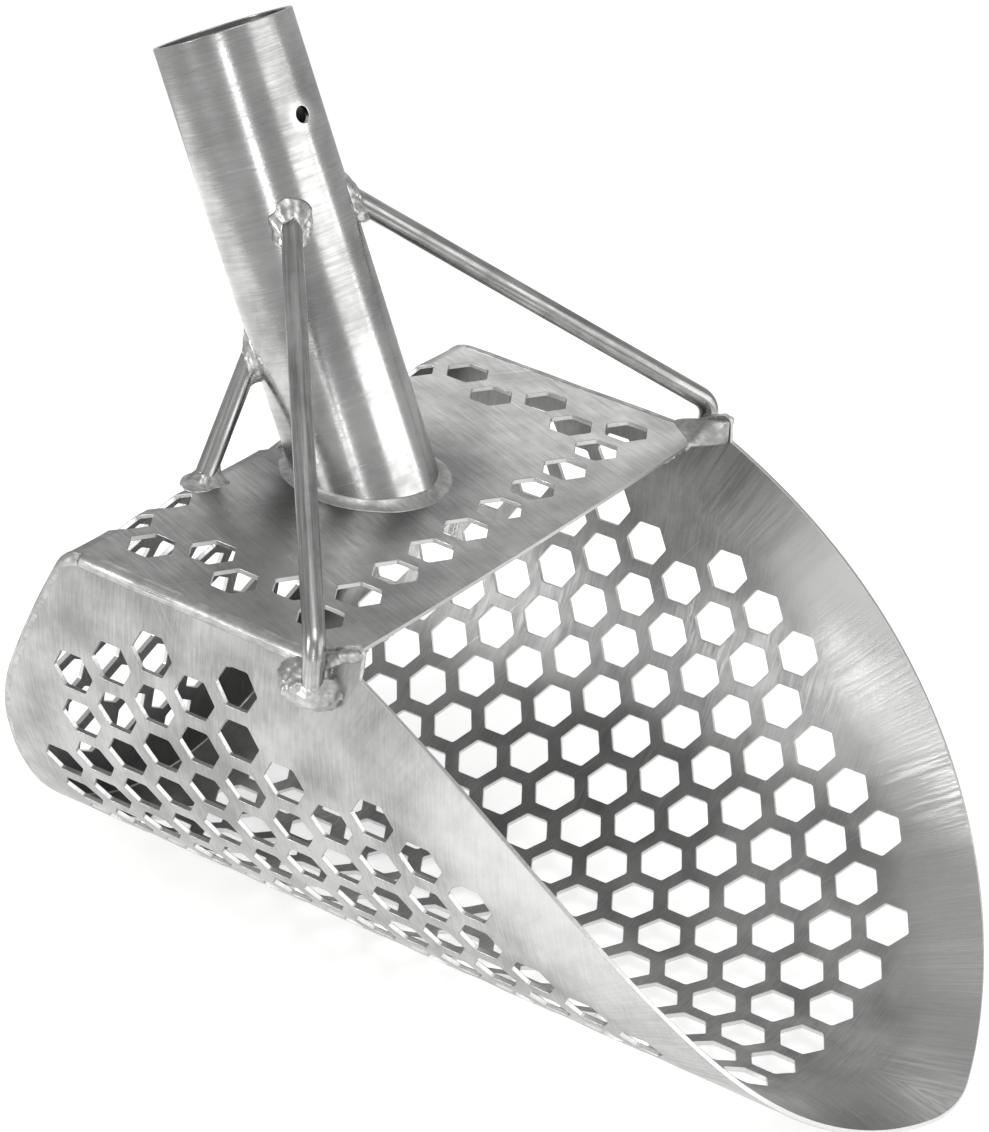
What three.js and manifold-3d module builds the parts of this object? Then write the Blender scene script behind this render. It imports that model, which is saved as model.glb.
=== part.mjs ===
// Beach sand scoop: a perforated stainless basket with a welded-on handle socket.
// Millimetres. +Z is up, the mouth faces -Y and +X is the scoop's own left.
// The origin is the centre of the socket's open end, where the pole goes in.

import * as THREE from 'three';
import { mergeVertices } from 'three/addons/utils/BufferGeometryUtils.js';
import Module from 'manifold-3d';

const wasm = await Module();
wasm.setup();

const degrees = THREE.MathUtils.degToRad;
const SIDES = { left: 1, right: -1 };

// ---- Driving dimensions ----

const SHEET = 1.5;                      // thickness of both sheets
const PITCH = 16.5;                     // hole spacing, centre to centre
const HEX_FLATS = 12;                   // hexagonal hole across flats
const COLUMN_STEP = PITCH * Math.sqrt(3) / 2;
const GAP = 0.3;                        // air left between neighbouring solids

// Basket: a U-shaped trough, measured at the middle of its sheet
const BASKET_DEPTH = 124.7;             // deck top to the bottom of the trough
const BOTTOM_RADIUS = 85.3;
const BOTTOM_HALF_ANGLE = degrees(56.7);
const SIDE_RADIUS = 128.6;
const BASKET_PITCH = degrees(1.83);     // the bottom rises towards the lip
const FIRST_COLUMN = 44.4;              // hole column 0, ahead of the first deck row
const FRONT_COLUMN = 5;
const REAR_COLUMN = -9;
const DIAGONAL_LIMIT = 7.5 * PITCH;     // the holes' slanting upper border beside the mouth
const TOP_HOLE = 9.5 * PITCH;           // the highest holes, measured around the trough
const MOUTH_MARGIN = 1.5 * PITCH;       // hole centre to the mouth edge
const REAR_MARGIN = 1.0 * PITCH;        // hole centre to the rear edge

// Mouth edge of the flat basket blank: two large arcs that meet in a rounded point
const MOUTH_RADIUS = 269.8;
const MOUTH_CENTRE_ACROSS = 66.8;
const MOUTH_CENTRE_BACK = 96.7;
const LIP_RADIUS = 38.2;
const EAR_HEIGHT = 8;                   // the wall's top corner ahead of the deck, above the deck
const EAR_FRONT = -26;                  // its upright front edge, from the first deck row
const EAR_SLOPE = 2.5;                  // its top falls by this much towards the deck
const EAR_RADIUS = 2.5;

// Hood: one sheet that is the deck, bends down and closes the back
const DECK_FRONT = 17.6;                // ahead of the first deck row
const DECK_BOW = 1.2;                   // the middle of its front edge stands forward
const DECK_BACK = 67.6;                 // behind the first deck row, where the bend begins
const UPPER_BEND_RADIUS = 9;
const UPPER_BEND_ANGLE = degrees(65.5);
const BACK_UPPER_LENGTH = 42;
const LOWER_BEND_RADIUS = 100;
const LOWER_BEND_ANGLE = degrees(17);
const BACK_LOWER_LENGTH = 60;           // more than enough: the outline trims it
const HOOD_SIDE_MARGIN = 1.05 * PITCH;  // hole centre to the hood's own edge
const BEND_ROW = 5;                     // the row of holes that lies on the upper bend

// Seam beads fill the corner between the two sheets, flush with both
const SEAM_RADIUS = 1.1;
const SEAM_ROOM = 2 * SEAM_RADIUS + GAP;

// Handle socket: a round tube that leans back from the deck
const SOCKET_RADIUS = 20;
const SOCKET_WALL = 1.5;
const SOCKET_LEAN = degrees(26.3);
const SOCKET_LENGTH = 130;              // along its axis, from the deck to the open end
const SOCKET_FOOT = 40.7;               // its axis on the deck, behind the first deck row
const BASE_WELD = 3.5;
const BOLT_RADIUS = 2.3;
const BOLT_HEIGHT = 102;                // along the socket, from the deck
const BOLT_TURN = degrees(-5);          // the cross hole sits a little off the middle

// Struts: round rod from the socket to the corners of the deck
const ROD_RADIUS = 3;
const FRONT_STRUT_HEIGHT = 76;          // along the socket
const FRONT_STRUT_TURN = degrees(43);   // around the socket, from its front
const FRONT_FOOT = new THREE.Vector3(96.5, -14.5, -7);
const FRONT_BEND_HEIGHT = 6.6;
const ROD_BEND_RADIUS = 7;
const REAR_STRUT_HEIGHT = 43;
const REAR_STRUT_TURN = degrees(140);
const REAR_FOOT = new THREE.Vector3(36, 70.5, 0);

// ---- Solids: closed meshes joined and cut ----

function solid(geometry) {
  const bare = geometry.clone();
  bare.deleteAttribute('normal');
  bare.deleteAttribute('uv');
  const merged = mergeVertices(bare, 1e-4);
  return new wasm.Manifold(new wasm.Mesh({
    numProp: 3,
    vertProperties: merged.attributes.position.array,
    triVerts: Uint32Array.from(merged.index.array),
  }));
}

function geometryOf(body) {
  const mesh = body.getMesh();
  const geometry = new THREE.BufferGeometry();
  geometry.setAttribute('position', new THREE.BufferAttribute(mesh.vertProperties, 3));
  geometry.setIndex(new THREE.BufferAttribute(mesh.triVerts, 1));
  return geometry;
}

function cut(geometry, ...tools) {
  let body = solid(geometry);
  for (const tool of tools) body = body.subtract(solid(tool));
  return geometryOf(body);
}

// A block that fills everything below a height, around the deck
function blockBelow(height) {
  const size = 400;
  return new THREE.BoxGeometry(size, size, size).translate(0, 0, height - size / 2);
}

// ---- Paths: straight runs and arcs, followed by distance ----

function makePath(pieces) {
  return (distance) => {
    let run = 0;
    let drop = 0;
    let heading = 0;
    let left = distance;
    for (const piece of pieces) {
      const length = piece.radius ? piece.radius * piece.angle : piece.length;
      const step = piece === pieces.at(-1) ? left : Math.min(left, length);
      if (piece.radius) {
        const turned = heading + step / piece.radius;
        run += piece.radius * (Math.sin(turned) - Math.sin(heading));
        drop += piece.radius * (Math.cos(heading) - Math.cos(turned));
        heading = turned;
      } else {
        run += step * Math.cos(heading);
        drop += step * Math.sin(heading);
      }
      left -= step;
      if (left <= 0) break;
    }
    return { run, drop, heading };
  };
}

// The distance along a path at which it has dropped by a given amount
function distanceAtDrop(path, drop, longest) {
  let low = 0;
  let high = longest;
  for (let i = 0; i < 40; i += 1) {
    const middle = (low + high) / 2;
    if (path(middle).drop < drop) low = middle;
    else high = middle;
  }
  return low;
}

// From the trough's lowest line up one side: for this path "drop" is height gained
const girth = makePath([
  { radius: BOTTOM_RADIUS, angle: BOTTOM_HALF_ANGLE },
  { radius: SIDE_RADIUS, angle: degrees(60) },
]);
const GIRTH_LONGEST = 190;

// From the first deck row backwards, over the bend and down the back
const HOOD_LONGEST = DECK_BACK + UPPER_BEND_RADIUS * UPPER_BEND_ANGLE + BACK_UPPER_LENGTH
  + LOWER_BEND_RADIUS * LOWER_BEND_ANGLE + BACK_LOWER_LENGTH;
const hoodLine = makePath([
  { length: DECK_BACK },
  { radius: UPPER_BEND_RADIUS, angle: UPPER_BEND_ANGLE },
  { length: BACK_UPPER_LENGTH },
  { radius: LOWER_BEND_RADIUS, angle: LOWER_BEND_ANGLE },
  { length: BACK_LOWER_LENGTH },
]);

// A point of the basket's sheet. around: from the lowest line, plus to the left.
// back: along the trough. inward: from the middle of the sheet.
function basketPoint(around, back, inward) {
  const at = girth(Math.abs(around));
  const x = Math.sign(around) * (at.run - inward * Math.sin(at.heading));
  const height = at.drop - BASKET_DEPTH + inward * Math.cos(at.heading);
  return new THREE.Vector3(x, back, height).applyAxisAngle(new THREE.Vector3(1, 0, 0), -BASKET_PITCH);
}

// A point of the hood's sheet. back: along the sheet from the first deck row.
// outward: from the sheet's outer face.
function hoodPoint(across, back, outward) {
  if (back <= 0) return new THREE.Vector3(across, back, outward);
  const at = hoodLine(back);
  const y = at.run + outward * Math.sin(at.heading);
  return new THREE.Vector3(across, y, -at.drop + outward * Math.cos(at.heading));
}

// How far back the hood's outer face is at a height
function backFace(height) {
  return hoodLine(distanceAtDrop(hoodLine, Math.max(-height, 0), HOOD_LONGEST)).run;
}

// Where the basket blank has to end so that it stops short of the back's outer face
function backAlongBasket(around, short, inward = 0) {
  let back = backFace(-BASKET_DEPTH / 2);
  for (let i = 0; i < 8; i += 1) {
    const point = basketPoint(around, back, inward);
    back += backFace(point.z) - short - point.y;
  }
  return back;
}

// The girth at which the wall's middle reaches a height over the deck
function girthAtHeight(height, back) {
  const local = height / Math.cos(BASKET_PITCH) + back * Math.tan(BASKET_PITCH);
  return distanceAtDrop(girth, BASKET_DEPTH + local, GIRTH_LONGEST);
}

// Half the basket's outer width at the deck
function halfWidth(back) {
  return girth(girthAtHeight(0, back)).run + SHEET / 2;
}

// The girths at which the seam up the back is measured, from the deck to the lowest line
const SEAM_STEPS = 17;
const SEAM_GIRTHS = Array.from({ length: SEAM_STEPS + 1 }, (unused, i) => (
  girthAtHeight(-UPPER_BEND_RADIUS / 2, DECK_BACK) * (1 - i / SEAM_STEPS)
));

// ---- Sheet metal: a flat blank with holes, then bent ----

// A hexagonal punch with two corners pointing along the sheet
function punch(x, y) {
  const corner = HEX_FLATS / Math.sqrt(3);
  return new THREE.CylinderGeometry(corner, corner, 4 * SHEET, 6).rotateX(Math.PI / 2).translate(x, y, 0);
}

function blank(outline, holes, curveSegments) {
  const sheet = new THREE.ExtrudeGeometry(outline, { depth: SHEET, bevelEnabled: false, curveSegments });
  return cut(sheet, ...holes.map(([x, y]) => punch(x, y)));
}

// The blank as numbered points and triangles
function meshOf(geometry) {
  const bare = geometry.clone();
  bare.deleteAttribute('normal');
  bare.deleteAttribute('uv');
  const merged = mergeVertices(bare, 1e-4);
  const points = [];
  const triangles = [];
  for (let i = 0; i < merged.attributes.position.count; i += 1) {
    points.push(new THREE.Vector3().fromBufferAttribute(merged.attributes.position, i));
  }
  for (let i = 0; i < merged.index.count; i += 3) {
    triangles.push([0, 1, 2].map((k) => merged.index.getX(i + k)));
  }
  return { points, triangles };
}

// Turns the edge between two flat neighbours wherever that makes shorter, rounder triangles
function turnLongEdges(points, triangles) {
  const owners = new Map();
  const edgesOf = ([a, b, c]) => [[a, b], [b, c], [c, a]];
  const key = (a, b) => a * points.length + b;
  const claim = (index) => {
    for (const [a, b] of edgesOf(triangles[index])) owners.set(key(a, b), index);
  };
  const angleAt = (corner, a, b) => points[a].clone().sub(points[corner])
    .angleTo(points[b].clone().sub(points[corner]));
  triangles.forEach((triangle, index) => claim(index));
  const waiting = triangles.flatMap(edgesOf);
  while (waiting.length > 0) {
    const [a, b] = waiting.pop();
    const here = owners.get(key(a, b));
    const there = owners.get(key(b, a));
    if (here === undefined || there === undefined) continue;
    const c = triangles[here].find((corner) => corner !== a && corner !== b);
    const d = triangles[there].find((corner) => corner !== a && corner !== b);
    const flat = [b, c, d].every((corner) => points[corner].z === points[a].z);
    if (!flat || angleAt(c, a, b) + angleAt(d, a, b) < Math.PI + 1e-6) continue;
    owners.delete(key(a, b));
    owners.delete(key(b, a));
    triangles[here] = [a, d, c];
    triangles[there] = [d, b, c];
    claim(here);
    claim(there);
    waiting.push([a, d], [d, b], [b, c], [c, a]);
  }
}

// Halves every edge that crosses too much of the bend, until none does
function splitAcrossBend(geometry, tooLong) {
  const { points, triangles: whole } = meshOf(geometry);
  let triangles = whole;
  for (;;) {
    turnLongEdges(points, triangles);
    const halves = new Map();
    const middleOf = (a, b) => {
      if (!tooLong(points[a], points[b])) return undefined;
      const key = a < b ? `${a},${b}` : `${b},${a}`;
      if (!halves.has(key)) {
        halves.set(key, points.length);
        points.push(points[a].clone().lerp(points[b], 0.5));
      }
      return halves.get(key);
    };
    triangles = triangles.flatMap((triangle) => splitTriangle(triangle, middleOf));
    if (halves.size === 0) return { points, triangles };
  }
}

function splitTriangle([a, b, c], middleOf) {
  const ab = middleOf(a, b);
  const bc = middleOf(b, c);
  const ca = middleOf(c, a);
  const count = [ab, bc, ca].filter((half) => half !== undefined).length;
  if (count === 0) return [[a, b, c]];
  if (count === 3) return [[a, ab, ca], [ab, b, bc], [ca, bc, c], [ab, bc, ca]];
  // turn the triangle until its first edge is a split one and, of two, its last is whole
  if (ab === undefined || (count === 2 && bc === undefined)) return splitTriangle([b, c, a], middleOf);
  if (count === 1) return [[a, ab, c], [ab, b, c]];
  return [[a, ab, c], [ab, bc, c], [ab, b, bc]];
}

function bend({ points, triangles }, place) {
  const positions = points.flatMap((point) => place(point.x, point.y, point.z).toArray());
  const geometry = new THREE.BufferGeometry();
  geometry.setAttribute('position', new THREE.Float32BufferAttribute(positions, 3));
  geometry.setIndex(triangles.flat());
  return geometry;
}

// ---- Basket ----

function mouthDistance(around, ahead) {
  const across = Math.abs(around) + MOUTH_CENTRE_ACROSS;
  return MOUTH_RADIUS - Math.hypot(across, ahead + MOUTH_CENTRE_BACK);
}

// Flat blank: x is around the trough, y is back along it
function basketOutline() {
  const centreY = MOUTH_CENTRE_BACK;
  const lipDrop = Math.sqrt((MOUTH_RADIUS - LIP_RADIUS) ** 2 - MOUTH_CENTRE_ACROSS ** 2);
  const lipAngle = Math.atan2(-lipDrop, MOUTH_CENTRE_ACROSS);
  const seamFront = -DECK_FRONT - GAP;
  const wallFront = girthAtHeight(-SEAM_ROOM, seamFront);
  const wallBack = girthAtHeight(-SEAM_ROOM, DECK_BACK);
  const earTop = girthAtHeight(EAR_HEIGHT, EAR_FRONT);
  const earArc = earTop - EAR_RADIUS;
  const mouthAngle = Math.asin((EAR_FRONT - centreY) / MOUTH_RADIUS);
  const outline = new THREE.Shape();
  outline.moveTo(-wallFront, seamFront);
  outline.lineTo(-earTop + EAR_SLOPE, seamFront);
  outline.lineTo(-earTop, EAR_FRONT + EAR_RADIUS);
  outline.absarc(-earArc, EAR_FRONT + EAR_RADIUS, EAR_RADIUS, Math.PI, 1.5 * Math.PI);
  outline.absarc(MOUTH_CENTRE_ACROSS, centreY, MOUTH_RADIUS, Math.PI - mouthAngle, Math.PI - lipAngle);
  outline.absarc(0, centreY - lipDrop, LIP_RADIUS, Math.PI - lipAngle, 2 * Math.PI + lipAngle);
  outline.absarc(-MOUTH_CENTRE_ACROSS, centreY, MOUTH_RADIUS, lipAngle, mouthAngle);
  outline.absarc(earArc, EAR_FRONT + EAR_RADIUS, EAR_RADIUS, -Math.PI / 2, 0);
  outline.lineTo(earTop - EAR_SLOPE, seamFront);
  outline.lineTo(wallFront, seamFront);
  outline.lineTo(wallBack, DECK_BACK - SEAM_ROOM);
  const leftSeam = SEAM_GIRTHS.slice(0, -1);
  const rightSeam = leftSeam.map((around) => -around).reverse();
  for (const around of [...leftSeam, 0, ...rightSeam]) {
    outline.lineTo(around, backAlongBasket(around, SEAM_ROOM));
  }
  outline.lineTo(-wallBack, DECK_BACK - SEAM_ROOM);
  return outline;
}

function basketHoles() {
  const holes = [];
  for (let column = REAR_COLUMN; column <= FRONT_COLUMN; column += 1) {
    const ahead = FIRST_COLUMN + COLUMN_STEP * column;
    const shift = column % 2 === 0 ? 0.5 : 0;
    for (let row = -10; row <= 10; row += 1) {
      const around = PITCH * (row + shift);
      const inside = Math.abs(around) <= TOP_HOLE
        && Math.abs(around) + PITCH * column / 2 <= DIAGONAL_LIMIT
        && mouthDistance(around, ahead) >= MOUTH_MARGIN
        && backAlongBasket(around, SEAM_ROOM) + ahead >= REAR_MARGIN;
      if (inside) holes.push([around, -ahead]);
    }
  }
  return holes;
}

function basketShell() {
  const flat = blank(basketOutline(), basketHoles(), 14);
  const longest = 1.25 * PITCH;
  const split = splitAcrossBend(flat, (a, b) => Math.abs(a.x - b.x) > longest);
  return bend(split, (around, back, through) => basketPoint(around, back, through - SHEET / 2));
}

// ---- Hood: deck and back ----

// The back's edge in the flat: the trough's inside, stepped in by the seam, laid along the hood
function hoodEdge() {
  const inward = SEAM_ROOM - SHEET / 2;
  return SEAM_GIRTHS.map((around) => {
    const point = basketPoint(around, backAlongBasket(around, 0, inward), inward);
    return new THREE.Vector2(point.x, distanceAtDrop(hoodLine, -point.z, HOOD_LONGEST));
  });
}

// Flat blank: x is across, y is back along the sheet
function hoodOutline() {
  const edge = hoodEdge();
  const front = halfWidth(-DECK_FRONT) - SEAM_ROOM;
  const back = halfWidth(DECK_BACK) - SEAM_ROOM;
  const outline = new THREE.Shape();
  outline.moveTo(-front, -DECK_FRONT);
  outline.quadraticCurveTo(0, -DECK_FRONT - 2 * DECK_BOW, front, -DECK_FRONT);
  outline.lineTo(back, DECK_BACK);
  for (const point of edge) outline.lineTo(point.x, point.y);
  for (const point of edge.slice(0, -1).reverse()) outline.lineTo(-point.x, point.y);
  outline.lineTo(-back, DECK_BACK);
  return outline;
}

function clearOfEdge(across, back, edge) {
  const level = edge.find((point) => point.y >= back);
  return level !== undefined && across < level.x
    && edge.every((point) => Math.hypot(point.x - across, point.y - back) >= HOOD_SIDE_MARGIN);
}

// In the deck the holes stop beside the socket; in the back they fill the sheet
function isHoodHole(row, across, edge) {
  if (row === 0 || row > BEND_ROW) return clearOfEdge(PITCH * across, COLUMN_STEP * row, edge);
  if (row === BEND_ROW && across < 1) return true;
  if (row === BEND_ROW && across < 3) return false;
  return across >= (row < BEND_ROW ? 4 : 3);
}

function hoodHoles() {
  const holes = [];
  const edge = hoodEdge();
  for (let row = 0; COLUMN_STEP * row < edge.at(-1).y; row += 1) {
    const shift = row % 2 === 0 ? 0.5 : 0;
    for (let place = -5; place <= 4; place += 1) {
      const across = place + shift;
      if (Math.abs(across) <= 4.5 && isHoodHole(row, Math.abs(across), edge)) {
        holes.push([PITCH * across, COLUMN_STEP * row]);
      }
    }
  }
  return holes;
}

function hoodPlate() {
  const flat = blank(hoodOutline(), hoodHoles(), 8);
  const upperEnd = DECK_BACK + UPPER_BEND_RADIUS * UPPER_BEND_ANGLE;
  const lowerStart = upperEnd + BACK_UPPER_LENGTH;
  const lowerEnd = lowerStart + LOWER_BEND_RADIUS * LOWER_BEND_ANGLE;
  const crosses = (a, b, from, to, longest) => {
    const low = Math.max(Math.min(a.y, b.y), from);
    const high = Math.min(Math.max(a.y, b.y), to);
    return high > low && Math.abs(a.y - b.y) > longest;
  };
  const split = splitAcrossBend(flat, (a, b) => crosses(a, b, DECK_BACK, upperEnd, 5)
    || crosses(a, b, lowerStart, lowerEnd, 18));
  return bend(split, (across, back, through) => hoodPoint(across, back, through - SHEET));
}

// ---- Handle socket ----

// Stands a shape made along +Z on the deck, leaning back as the socket does
function leaned(geometry) {
  return geometry.rotateX(-SOCKET_LEAN).translate(0, SOCKET_FOOT, 0);
}

function socketPoint(height, turn, radius) {
  const point = new THREE.Vector3(radius * Math.sin(turn), -radius * Math.cos(turn), height);
  point.applyAxisAngle(new THREE.Vector3(1, 0, 0), -SOCKET_LEAN);
  return point.add(new THREE.Vector3(0, SOCKET_FOOT, 0));
}

function handleSocket() {
  const below = -30;
  const inner = SOCKET_RADIUS - SOCKET_WALL;
  const section = [
    new THREE.Vector2(inner, below),
    new THREE.Vector2(SOCKET_RADIUS, below),
    new THREE.Vector2(SOCKET_RADIUS, SOCKET_LENGTH),
    new THREE.Vector2(inner, SOCKET_LENGTH),
    new THREE.Vector2(inner, below),
  ];
  const tube = leaned(new THREE.LatheGeometry(section, 48).rotateX(Math.PI / 2));
  const bolt = new THREE.CylinderGeometry(BOLT_RADIUS, BOLT_RADIUS, 3 * SOCKET_RADIUS, 20);
  bolt.rotateZ(BOLT_TURN).translate(0, 0, BOLT_HEIGHT);
  return cut(tube, blockBelow(GAP), leaned(bolt));
}

// A solid a little fatter than the socket, to cut its neighbours clear of it
function socketClearance() {
  const radius = SOCKET_RADIUS + GAP;
  const height = SOCKET_LENGTH + 60;
  return leaned(new THREE.CylinderGeometry(radius, radius, height, 48).rotateX(Math.PI / 2)
    .translate(0, 0, height / 2 - 40));
}

// A fillet ring that follows the leaning tube where it meets the deck
function socketBaseWeld() {
  const inner = SOCKET_RADIUS + GAP;
  const section = [new THREE.Vector2(inner, GAP), new THREE.Vector2(inner + BASE_WELD, GAP)];
  const steps = 4;
  for (let i = 1; i <= steps; i += 1) {
    const angle = degrees(90 * i / steps);
    section.push(new THREE.Vector2(inner + BASE_WELD * Math.cos(angle), GAP + BASE_WELD * Math.sin(angle)));
  }
  section.push(new THREE.Vector2(inner, GAP));
  const ring = new THREE.LatheGeometry(section, 48).rotateX(Math.PI / 2);
  const lean = new THREE.Matrix4().set(
    1, 0, 0, 0,
    0, 1 / Math.cos(SOCKET_LEAN), Math.tan(SOCKET_LEAN), SOCKET_FOOT,
    0, 0, 1, 0,
    0, 0, 0, 1,
  );
  return ring.applyMatrix4(lean);
}

// ---- Rods and beads: a round section swept along stations ----

class Stations extends THREE.Curve {
  constructor(points) {
    super();
    this.points = points;
  }

  getPoint(t, target = new THREE.Vector3()) {
    const place = THREE.MathUtils.clamp(t, 0, 1) * (this.points.length - 1);
    const index = Math.min(Math.floor(place), this.points.length - 2);
    return target.lerpVectors(this.points[index], this.points[index + 1], place - index);
  }

  getPointAt(u, target) {
    return this.getPoint(u, target);
  }

  getTangentAt(u, target) {
    return this.getTangent(u, target);
  }
}

function roundBar(points, radius, sides) {
  const section = new THREE.Shape().absarc(0, 0, radius, 0, 2 * Math.PI);
  const options = { extrudePath: new Stations(points), steps: points.length - 1, curveSegments: sides / 2 };
  return new THREE.ExtrudeGeometry(section, options);
}

// The stations of a rod from one point to another by way of a rounded corner
function bentStations(start, corner, end, radius) {
  const toStart = start.clone().sub(corner).normalize();
  const toEnd = end.clone().sub(corner).normalize();
  const half = toStart.angleTo(toEnd) / 2;
  const setback = radius / Math.tan(half);
  const centre = corner.clone().add(toStart.clone().add(toEnd).setLength(radius / Math.sin(half)));
  const from = corner.clone().addScaledVector(toStart, setback).sub(centre);
  const to = corner.clone().addScaledVector(toEnd, setback).sub(centre);
  const axis = from.clone().cross(to).normalize();
  const sweep = from.angleTo(to);
  const stations = [start];
  const steps = 5;
  for (let i = 0; i <= steps; i += 1) {
    stations.push(from.clone().applyAxisAngle(axis, sweep * i / steps).add(centre));
  }
  stations.push(end);
  return stations;
}

function mirrored(point, side) {
  return new THREE.Vector3(point.x * side, point.y, point.z);
}

function frontStrutStations(side) {
  const inSocket = socketPoint(FRONT_STRUT_HEIGHT, side * FRONT_STRUT_TURN, SOCKET_RADIUS - 3);
  const foot = mirrored(FRONT_FOOT, side);
  const corner = foot.clone().setZ(FRONT_BEND_HEIGHT);
  return bentStations(inSocket, corner, foot, ROD_BEND_RADIUS);
}

function rearStrutStations(side) {
  const inSocket = socketPoint(REAR_STRUT_HEIGHT, side * REAR_STRUT_TURN, SOCKET_RADIUS - 3);
  const foot = mirrored(REAR_FOOT, side);
  const below = foot.clone().lerp(inSocket, -0.15);
  return [inSocket, below];
}

function frontStrut(side) {
  return cut(roundBar(frontStrutStations(side), ROD_RADIUS, 12), socketClearance());
}

function rearStrut(side) {
  return cut(roundBar(rearStrutStations(side), ROD_RADIUS, 12), socketClearance(), blockBelow(GAP));
}

// ---- Welds ----

// A lump of weld around a rod's end, cut clear of what it joins
function lump(centre, size, ...neighbours) {
  const ball = new THREE.IcosahedronGeometry(1, 2);
  ball.scale(size.x, size.y, size.z).translate(centre.x, centre.y, centre.z);
  return cut(ball, ...neighbours);
}

// A little fatter and longer than the rod it clears
function rodClearance(stations) {
  const longer = [...stations];
  longer[0] = stations[1].clone().sub(stations[0]).setLength(-GAP).add(stations[0]);
  const [beforeLast, last] = stations.slice(-2);
  longer[longer.length - 1] = last.clone().sub(beforeLast).setLength(GAP).add(last);
  return roundBar(longer, ROD_RADIUS + GAP, 12);
}

function frontTopWeld(side) {
  const centre = socketPoint(FRONT_STRUT_HEIGHT, side * FRONT_STRUT_TURN, SOCKET_RADIUS + 1);
  const size = new THREE.Vector3(7, 7, 6.5);
  return lump(centre, size, socketClearance(), rodClearance(frontStrutStations(side)));
}

function rearTopWeld(side) {
  const centre = socketPoint(REAR_STRUT_HEIGHT, side * REAR_STRUT_TURN, SOCKET_RADIUS + 1);
  const size = new THREE.Vector3(6.5, 6.5, 8);
  return lump(centre, size, socketClearance(), rodClearance(rearStrutStations(side)));
}

function rearFootWeld(side) {
  const centre = mirrored(REAR_FOOT, side).setZ(1);
  const size = new THREE.Vector3(8, 6, 5);
  return lump(centre, size, blockBelow(GAP), rodClearance(rearStrutStations(side)));
}

function frontFootWeld(side) {
  const wall = basketPoint(girthAtHeight(-14, 0), 0, -SHEET / 2).x + GAP;
  const centre = new THREE.Vector3(side * wall, FRONT_FOOT.y + 1, -8);
  const size = new THREE.Vector3(8, 12, 8);
  const inside = new THREE.BoxGeometry(2 * wall, 100, 100);
  return lump(centre, size, inside, rodClearance(frontStrutStations(side)));
}

// Fills the corner between the deck and the wall's ear, and runs down over the deck's front edge
function deckCornerWeld(side) {
  const wall = girth(girthAtHeight(EAR_HEIGHT, -DECK_FRONT)).run - SHEET / 2 - GAP;
  const centre = new THREE.Vector3(side * wall, -DECK_FRONT + 1, 0);
  const size = new THREE.Vector3(12, 9, EAR_HEIGHT - EAR_SLOPE);
  const reach = 100;
  const outside = new THREE.BoxGeometry(reach, reach, reach).translate(side * (wall + reach / 2), 0, 0);
  const deck = new THREE.BoxGeometry(2 * reach, reach, reach)
    .translate(0, reach / 2 - DECK_FRONT - DECK_BOW, GAP - reach / 2);
  const below = blockBelow(-SHEET);
  return lump(centre, size, outside, deck, below);
}

function deckSeamWeld(side) {
  const inset = SEAM_RADIUS;
  const front = new THREE.Vector3(side * (halfWidth(-DECK_FRONT) - inset), -DECK_FRONT, -inset);
  const back = new THREE.Vector3(side * (halfWidth(DECK_BACK) - inset), DECK_BACK, -inset);
  return roundBar([front, back], SEAM_RADIUS, 8);
}

// One run of weld from the deck down to the lowest line, between the basket and the back
function backSeamWeld(side) {
  const inward = SEAM_RADIUS - SHEET / 2;
  const girths = [...SEAM_GIRTHS.slice(0, -1), GAP];
  const stations = girths.map((around) => (
    basketPoint(side * around, backAlongBasket(around, SEAM_RADIUS, inward), inward)
  ));
  return roundBar(stations, SEAM_RADIUS, 8);
}

// ---- The assembly ----

const SHEET_STEEL = { color: 0xb9bbbc, roughness: 0.38, metalness: 1 };
const TUBE_STEEL = { color: 0xc8c9ca, roughness: 0.28, metalness: 1 };
const ROD_STEEL = { color: 0x9b9d9e, roughness: 0.34, metalness: 1 };
const WELD_STEEL = { color: 0xa7a6a4, roughness: 0.45, metalness: 1 };

const scoop = new THREE.Group();
const socketMouth = socketPoint(SOCKET_LENGTH, 0, 0);
scoop.position.copy(socketMouth).negate();

function add(name, geometry, finish) {
  geometry.computeVertexNormals();
  const mesh = new THREE.Mesh(geometry, new THREE.MeshStandardMaterial(finish));
  mesh.name = name;
  scoop.add(mesh);
}

add('basket_shell', basketShell(), SHEET_STEEL);
add('hood_plate', hoodPlate(), SHEET_STEEL);
add('handle_socket', handleSocket(), TUBE_STEEL);
add('socket_base_weld', socketBaseWeld(), WELD_STEEL);

for (const [name, side] of Object.entries(SIDES)) {
  add(`front_strut_${name}`, frontStrut(side), ROD_STEEL);
  add(`rear_strut_${name}`, rearStrut(side), ROD_STEEL);
  add(`front_strut_top_weld_${name}`, frontTopWeld(side), WELD_STEEL);
  add(`front_strut_foot_weld_${name}`, frontFootWeld(side), WELD_STEEL);
  add(`rear_strut_top_weld_${name}`, rearTopWeld(side), WELD_STEEL);
  add(`rear_strut_foot_weld_${name}`, rearFootWeld(side), WELD_STEEL);
  add(`deck_corner_weld_${name}`, deckCornerWeld(side), WELD_STEEL);
  add(`deck_seam_weld_${name}`, deckSeamWeld(side), WELD_STEEL);
  add(`back_seam_weld_${name}`, backSeamWeld(side), WELD_STEEL);
}

export default scoop;
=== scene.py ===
"""A perforated stainless sand scoop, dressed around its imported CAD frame. Metres, +Z up, mouth to -Y."""

import math
import random

import bmesh
import bpy
from mathutils import Matrix, Vector, noise
from mathutils.geometry import delaunay_2d_cdt
from mathutils.kdtree import KDTree


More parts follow.
